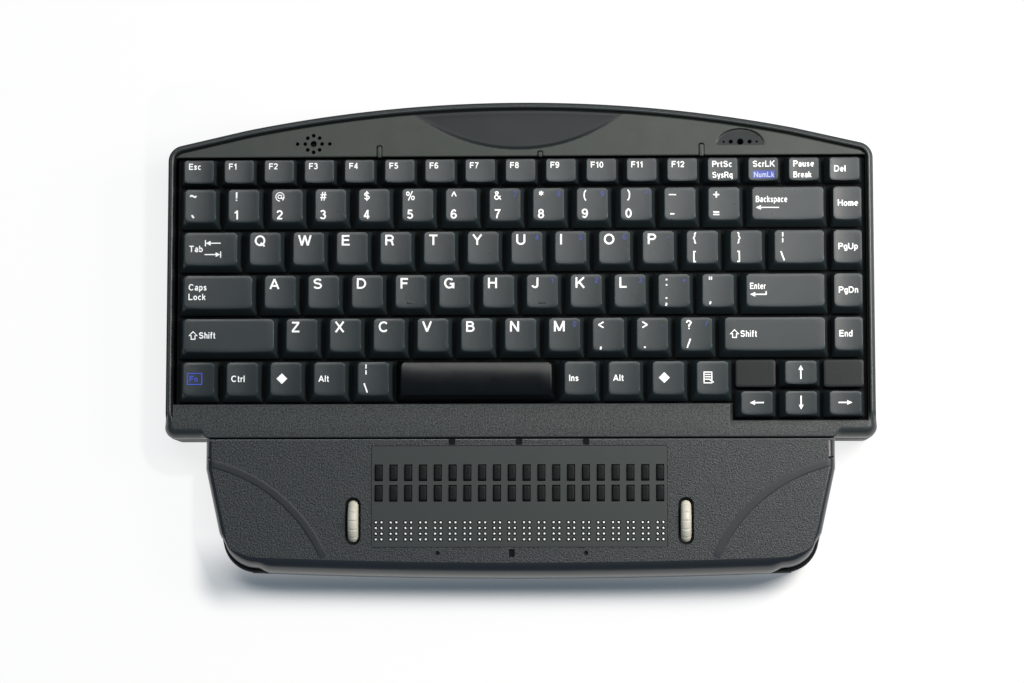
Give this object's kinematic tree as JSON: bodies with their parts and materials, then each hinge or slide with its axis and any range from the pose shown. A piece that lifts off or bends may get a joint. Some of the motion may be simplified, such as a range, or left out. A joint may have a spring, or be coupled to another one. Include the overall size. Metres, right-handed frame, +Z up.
{
  "type": "braille notetaker",
  "caption": "Portable braille notetaker: a keyboard unit with an arched rear edge and, docked along its front, a detachable braille display with routing buttons and thumb wheels.",
  "frame": {"origin": "on the table under the middle of the docked object", "axes": "+X to the user's right along the keyboard, +Y to the rear, +Z up"},
  "size_m": [0.3108, 0.209, 0.034],
  "materials": {
    "case_plastic": "coarse moulded grain, charcoal grey",
    "lower_plastic": "fine moulded grain, dark grey",
    "panel_plastic": "smooth satin, greenish grey",
    "key_plastic": "satin keycap, dark grey with pale legends",
    "space_bar_plastic": "polished, near black",
    "black_plastic": "black moulding",
    "steel": "zinc-plated steel",
    "membrane_film": "clear film with printed tracks",
    "dome_rubber": "milky silicone rubber",
    "circuit_board": "green solder mask",
    "battery_wrap": "shrink-wrapped pack",
    "microphone_can": "drawn can",
    "rubber": "black rubber",
    "socket_metal": "stamped, plated shell",
    "wheel_ivory": "ivory, satin",
    "pin_white": "white nylon",
    "button_plastic": "satin, dark grey",
    "reed_ceramic": "coated ceramic strip",
    "cell_plastic": "natural moulding",
    "yoke_plastic": "grey acetal"
  },
  "bodies": {
    "main": {"lower_case": "lower_plastic", "upper_case": "case_plastic", "rear_panel": "panel_plastic", "key_frame": "black_plastic", "keyboard_plate": "steel", "membrane": "membrane_film", "dome_sheet": "dome_rubber", "main_board": "circuit_board", "battery_pack": "battery_wrap", "battery_cover": "lower_plastic", "speaker": "black_plastic", "microphone": "microphone_can", "case_screws": "steel", "main_feet": "rubber", "power_socket": "black_plastic", "usb_socket": "socket_metal", "headphone_socket": "black_plastic", "dock_socket": "black_plastic", "key_fillers": "key_plastic"},
    "display": {"display_upper_case": "case_plastic", "display_lower_case": "lower_plastic", "braille_panel": "panel_plastic", "cell_modules": "cell_plastic", "piezo_reeds": "reed_ceramic", "cell_board": "circuit_board", "button_board": "circuit_board", "corner_bumpers": "rubber", "display_feet": "rubber", "display_screws": "steel", "dock_plug": "black_plastic", "locator_blocks": "black_plastic"},
    "yoke_left": {"wheel_yoke_left": "yoke_plastic"},
    "wheel_left": {"thumb_wheel_left": "wheel_ivory"},
    "yoke_right": {"wheel_yoke_right": "yoke_plastic"},
    "wheel_right": {"thumb_wheel_right": "wheel_ivory"},
    "rear_buttons": {"rear_routing_buttons": "button_plastic"},
    "front_buttons": {"front_routing_buttons": "button_plastic"},
    "dot_1": {"dot_1_pins": "pin_white"},
    "dot_2": {"dot_2_pins": "pin_white"},
    "dot_3": {"dot_3_pins": "pin_white"},
    "dot_4": {"dot_4_pins": "pin_white"},
    "dot_5": {"dot_5_pins": "pin_white"},
    "dot_6": {"dot_6_pins": "pin_white"},
    "dot_7": {"dot_7_pins": "pin_white"},
    "dot_8": {"dot_8_pins": "pin_white"},
    "function_row_keys_group": {"function_row_keys": "key_plastic"},
    "number_row_keys_group": {"number_row_keys": "key_plastic"},
    "upper_row_keys_group": {"upper_row_keys": "key_plastic"},
    "home_row_keys_group": {"home_row_keys": "key_plastic"},
    "lower_row_keys_group": {"lower_row_keys": "key_plastic"},
    "modifier_keys_group": {"modifier_keys": "key_plastic"},
    "navigation_keys_group": {"navigation_keys": "key_plastic"},
    "arrow_keys_group": {"arrow_keys": "key_plastic"},
    "tab_key_cap": {"tab_key": "key_plastic"},
    "caps_lock_key_cap": {"caps_lock_key": "key_plastic"},
    "left_shift_key_cap": {"left_shift_key": "key_plastic"},
    "right_shift_key_cap": {"right_shift_key": "key_plastic"},
    "enter_key_cap": {"enter_key": "key_plastic"},
    "backspace_key_cap": {"backspace_key": "key_plastic"},
    "space_bar_cap": {"space_bar": "space_bar_plastic"}
  },
  "joints": [
    {"name": "display_undock", "type": "slide", "parent": "main", "child": "display", "axis": [0, -1, 0], "range_m": [0, 0.03]},
    {"name": "wheel_press_left", "type": "slide", "parent": "display", "child": "yoke_left", "axis": [0, 0, 1], "range_m": [-0.0008, 0], "stiffness_N_per_m": 600, "springref_m": 0.001},
    {"name": "wheel_roll_left", "type": "hinge", "parent": "yoke_left", "child": "wheel_left", "pos_m": [-0.0721, -0.07995, 0.0217], "axis": [1, 0, 0], "continuous": true},
    {"name": "wheel_press_right", "type": "slide", "parent": "display", "child": "yoke_right", "axis": [0, 0, 1], "range_m": [-0.0008, 0], "stiffness_N_per_m": 600, "springref_m": 0.001},
    {"name": "wheel_roll_right", "type": "hinge", "parent": "yoke_right", "child": "wheel_right", "pos_m": [0.0721, -0.07995, 0.0217], "axis": [1, 0, 0], "continuous": true},
    {"name": "rear_button_press", "type": "slide", "parent": "display", "child": "rear_buttons", "axis": [0, 0, 1], "range_m": [-0.0006, 0], "stiffness_N_per_m": 150, "springref_m": 0.001},
    {"name": "front_button_press", "type": "slide", "parent": "display", "child": "front_buttons", "axis": [0, 0, 1], "range_m": [-0.0006, 0], "stiffness_N_per_m": 150, "springref_m": 0.001},
    {"name": "dot_1_lift", "type": "slide", "parent": "display", "child": "dot_1", "axis": [0, 0, 1], "range_m": [0, 0.0007]},
    {"name": "dot_2_lift", "type": "slide", "parent": "display", "child": "dot_2", "axis": [0, 0, 1], "range_m": [0, 0.0007]},
    {"name": "dot_3_lift", "type": "slide", "parent": "display", "child": "dot_3", "axis": [0, 0, 1], "range_m": [0, 0.0007]},
    {"name": "dot_4_lift", "type": "slide", "parent": "display", "child": "dot_4", "axis": [0, 0, 1], "range_m": [0, 0.0007]},
    {"name": "dot_5_lift", "type": "slide", "parent": "display", "child": "dot_5", "axis": [0, 0, 1], "range_m": [0, 0.0007]},
    {"name": "dot_6_lift", "type": "slide", "parent": "display", "child": "dot_6", "axis": [0, 0, 1], "range_m": [0, 0.0007]},
    {"name": "dot_7_lift", "type": "slide", "parent": "display", "child": "dot_7", "axis": [0, 0, 1], "range_m": [0, 0.0007]},
    {"name": "dot_8_lift", "type": "slide", "parent": "display", "child": "dot_8", "axis": [0, 0, 1], "range_m": [0, 0.0007]},
    {"name": "function_row_keys_press", "type": "slide", "parent": "main", "child": "function_row_keys_group", "axis": [0, 0, 1], "range_m": [-0.0025, 0], "stiffness_N_per_m": 400, "springref_m": 0.002, "deforming": ["dome_sheet"]},
    {"name": "number_row_keys_press", "type": "slide", "parent": "main", "child": "number_row_keys_group", "axis": [0, 0, 1], "range_m": [-0.0025, 0], "stiffness_N_per_m": 400, "springref_m": 0.002, "deforming": ["dome_sheet"]},
    {"name": "upper_row_keys_press", "type": "slide", "parent": "main", "child": "upper_row_keys_group", "axis": [0, 0, 1], "range_m": [-0.0025, 0], "stiffness_N_per_m": 400, "springref_m": 0.002, "deforming": ["dome_sheet"]},
    {"name": "home_row_keys_press", "type": "slide", "parent": "main", "child": "home_row_keys_group", "axis": [0, 0, 1], "range_m": [-0.0025, 0], "stiffness_N_per_m": 400, "springref_m": 0.002, "deforming": ["dome_sheet"]},
    {"name": "lower_row_keys_press", "type": "slide", "parent": "main", "child": "lower_row_keys_group", "axis": [0, 0, 1], "range_m": [-0.0025, 0], "stiffness_N_per_m": 400, "springref_m": 0.002, "deforming": ["dome_sheet"]},
    {"name": "modifier_keys_press", "type": "slide", "parent": "main", "child": "modifier_keys_group", "axis": [0, 0, 1], "range_m": [-0.0025, 0], "stiffness_N_per_m": 400, "springref_m": 0.002, "deforming": ["dome_sheet"]},
    {"name": "navigation_keys_press", "type": "slide", "parent": "main", "child": "navigation_keys_group", "axis": [0, 0, 1], "range_m": [-0.0025, 0], "stiffness_N_per_m": 400, "springref_m": 0.002, "deforming": ["dome_sheet"]},
    {"name": "arrow_keys_press", "type": "slide", "parent": "main", "child": "arrow_keys_group", "axis": [0, 0, 1], "range_m": [-0.0025, 0], "stiffness_N_per_m": 400, "springref_m": 0.002, "deforming": ["dome_sheet"]},
    {"name": "tab_key_press", "type": "slide", "parent": "main", "child": "tab_key_cap", "axis": [0, 0, 1], "range_m": [-0.0025, 0], "stiffness_N_per_m": 150, "springref_m": 0.002, "deforming": ["dome_sheet"]},
    {"name": "caps_lock_key_press", "type": "slide", "parent": "main", "child": "caps_lock_key_cap", "axis": [0, 0, 1], "range_m": [-0.0025, 0], "stiffness_N_per_m": 150, "springref_m": 0.002, "deforming": ["dome_sheet"]},
    {"name": "left_shift_key_press", "type": "slide", "parent": "main", "child": "left_shift_key_cap", "axis": [0, 0, 1], "range_m": [-0.0025, 0], "stiffness_N_per_m": 150, "springref_m": 0.002, "deforming": ["dome_sheet"]},
    {"name": "right_shift_key_press", "type": "slide", "parent": "main", "child": "right_shift_key_cap", "axis": [0, 0, 1], "range_m": [-0.0025, 0], "stiffness_N_per_m": 150, "springref_m": 0.002, "deforming": ["dome_sheet"]},
    {"name": "enter_key_press", "type": "slide", "parent": "main", "child": "enter_key_cap", "axis": [0, 0, 1], "range_m": [-0.0025, 0], "stiffness_N_per_m": 150, "springref_m": 0.002, "deforming": ["dome_sheet"]},
    {"name": "backspace_key_press", "type": "slide", "parent": "main", "child": "backspace_key_cap", "axis": [0, 0, 1], "range_m": [-0.0025, 0], "stiffness_N_per_m": 150, "springref_m": 0.002, "deforming": ["dome_sheet"]},
    {"name": "space_bar_press", "type": "slide", "parent": "main", "child": "space_bar_cap", "axis": [0, 0, 1], "range_m": [-0.0025, 0], "stiffness_N_per_m": 150, "springref_m": 0.002, "deforming": ["dome_sheet"]}
  ]
}
